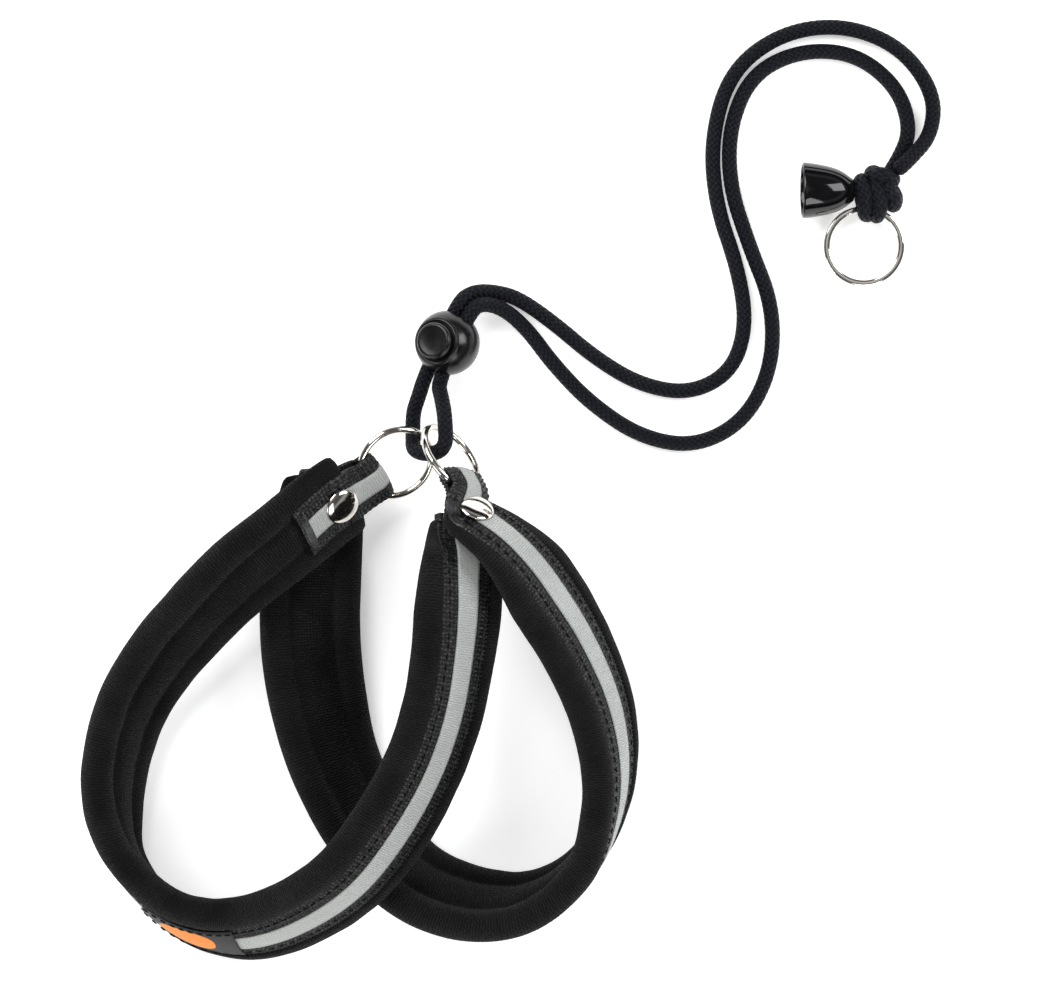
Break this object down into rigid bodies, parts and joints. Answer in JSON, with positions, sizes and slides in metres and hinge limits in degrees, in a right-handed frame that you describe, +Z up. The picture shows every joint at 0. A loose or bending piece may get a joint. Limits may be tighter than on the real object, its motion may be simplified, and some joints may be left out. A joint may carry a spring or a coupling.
{
  "type": "small pet step-in harness with drawcord",
  "caption": "Two padded fabric straps riveted at both ends, each holding a metal ring, with a braided drawcord through the rings, a ball cord lock, a split ring and a bell cord end.",
  "frame": {"origin": "on the surface it lies on, under the middle of the padded straps' box", "axes": "+Z up from the surface it lies on; +X to the right and +Y towards the cord end, seen from above"},
  "size_m": [0.2551, 0.2809, 0.0498],
  "materials": {
    "pad_knit": "fine ribbed knit, matte",
    "foam": "soft open foam",
    "webbing": "woven nylon with bright flecks",
    "reflective": "grey reflective, fine grain",
    "stitching": "close zigzag thread",
    "label": "woven",
    "nickel": "polished nickel plate",
    "lock_plastic": "satin",
    "spring_steel": "bright wire",
    "cord": "braided",
    "bell_plastic": "glossy"
  },
  "bodies": {
    "harness": {"front_pad_cover": "pad_knit", "front_pad_foam": "foam", "front_webbing": "webbing", "front_reflective_tape": "reflective", "front_bar_tack": "stitching", "rear_pad_cover": "pad_knit", "rear_pad_foam": "foam", "rear_webbing": "webbing", "rear_reflective_tape": "reflective", "rear_bar_tack": "stitching", "woven_label": "label", "left_rivet": "nickel", "left_rivet_cap": "nickel", "right_rivet": "nickel", "right_rivet_cap": "nickel", "drawcord": "cord", "cord_knot": "cord", "bell_end": "bell_plastic", "bell_plug": "bell_plastic", "cord_end_knot": "cord"},
    "left_ring": {"left_ring": "nickel"},
    "right_ring": {"right_ring": "nickel"},
    "split_ring": {"split_ring": "nickel"},
    "cord_lock": {"cord_lock_body": "lock_plastic", "cord_lock_spring": "spring_steel"},
    "lock_button": {"cord_lock_button": "lock_plastic"}
  },
  "joints": [
    {"name": "left_ring_turn", "type": "hinge", "parent": "harness", "child": "left_ring", "pos_m": [0.0102, 0.0682, 0.0155], "axis": [0.3403, -0.4404, 0.8308], "continuous": true},
    {"name": "right_ring_turn", "type": "hinge", "parent": "harness", "child": "right_ring", "pos_m": [0.0266, 0.0696, 0.0196], "axis": [0.7018, 0.5514, 0.4511], "continuous": true},
    {"name": "split_ring_turn", "type": "hinge", "parent": "harness", "child": "split_ring", "pos_m": [0.1498, 0.1332, 0.0029], "axis": [0, -0.1191, 0.9929], "continuous": true},
    {"name": "cord_lock_slide", "type": "slide", "parent": "harness", "child": "cord_lock", "axis": [-0.4113, -0.8978, -0.1575], "range_m": [0, 0.0015]},
    {"name": "lock_button_press", "type": "slide", "parent": "cord_lock", "child": "lock_button", "axis": [0.4098, -0.03, -0.9117], "range_m": [0, 0.002], "stiffness_N_per_m": 500, "springref_m": -0.001, "deforming": ["cord_lock_spring"]}
  ]
}
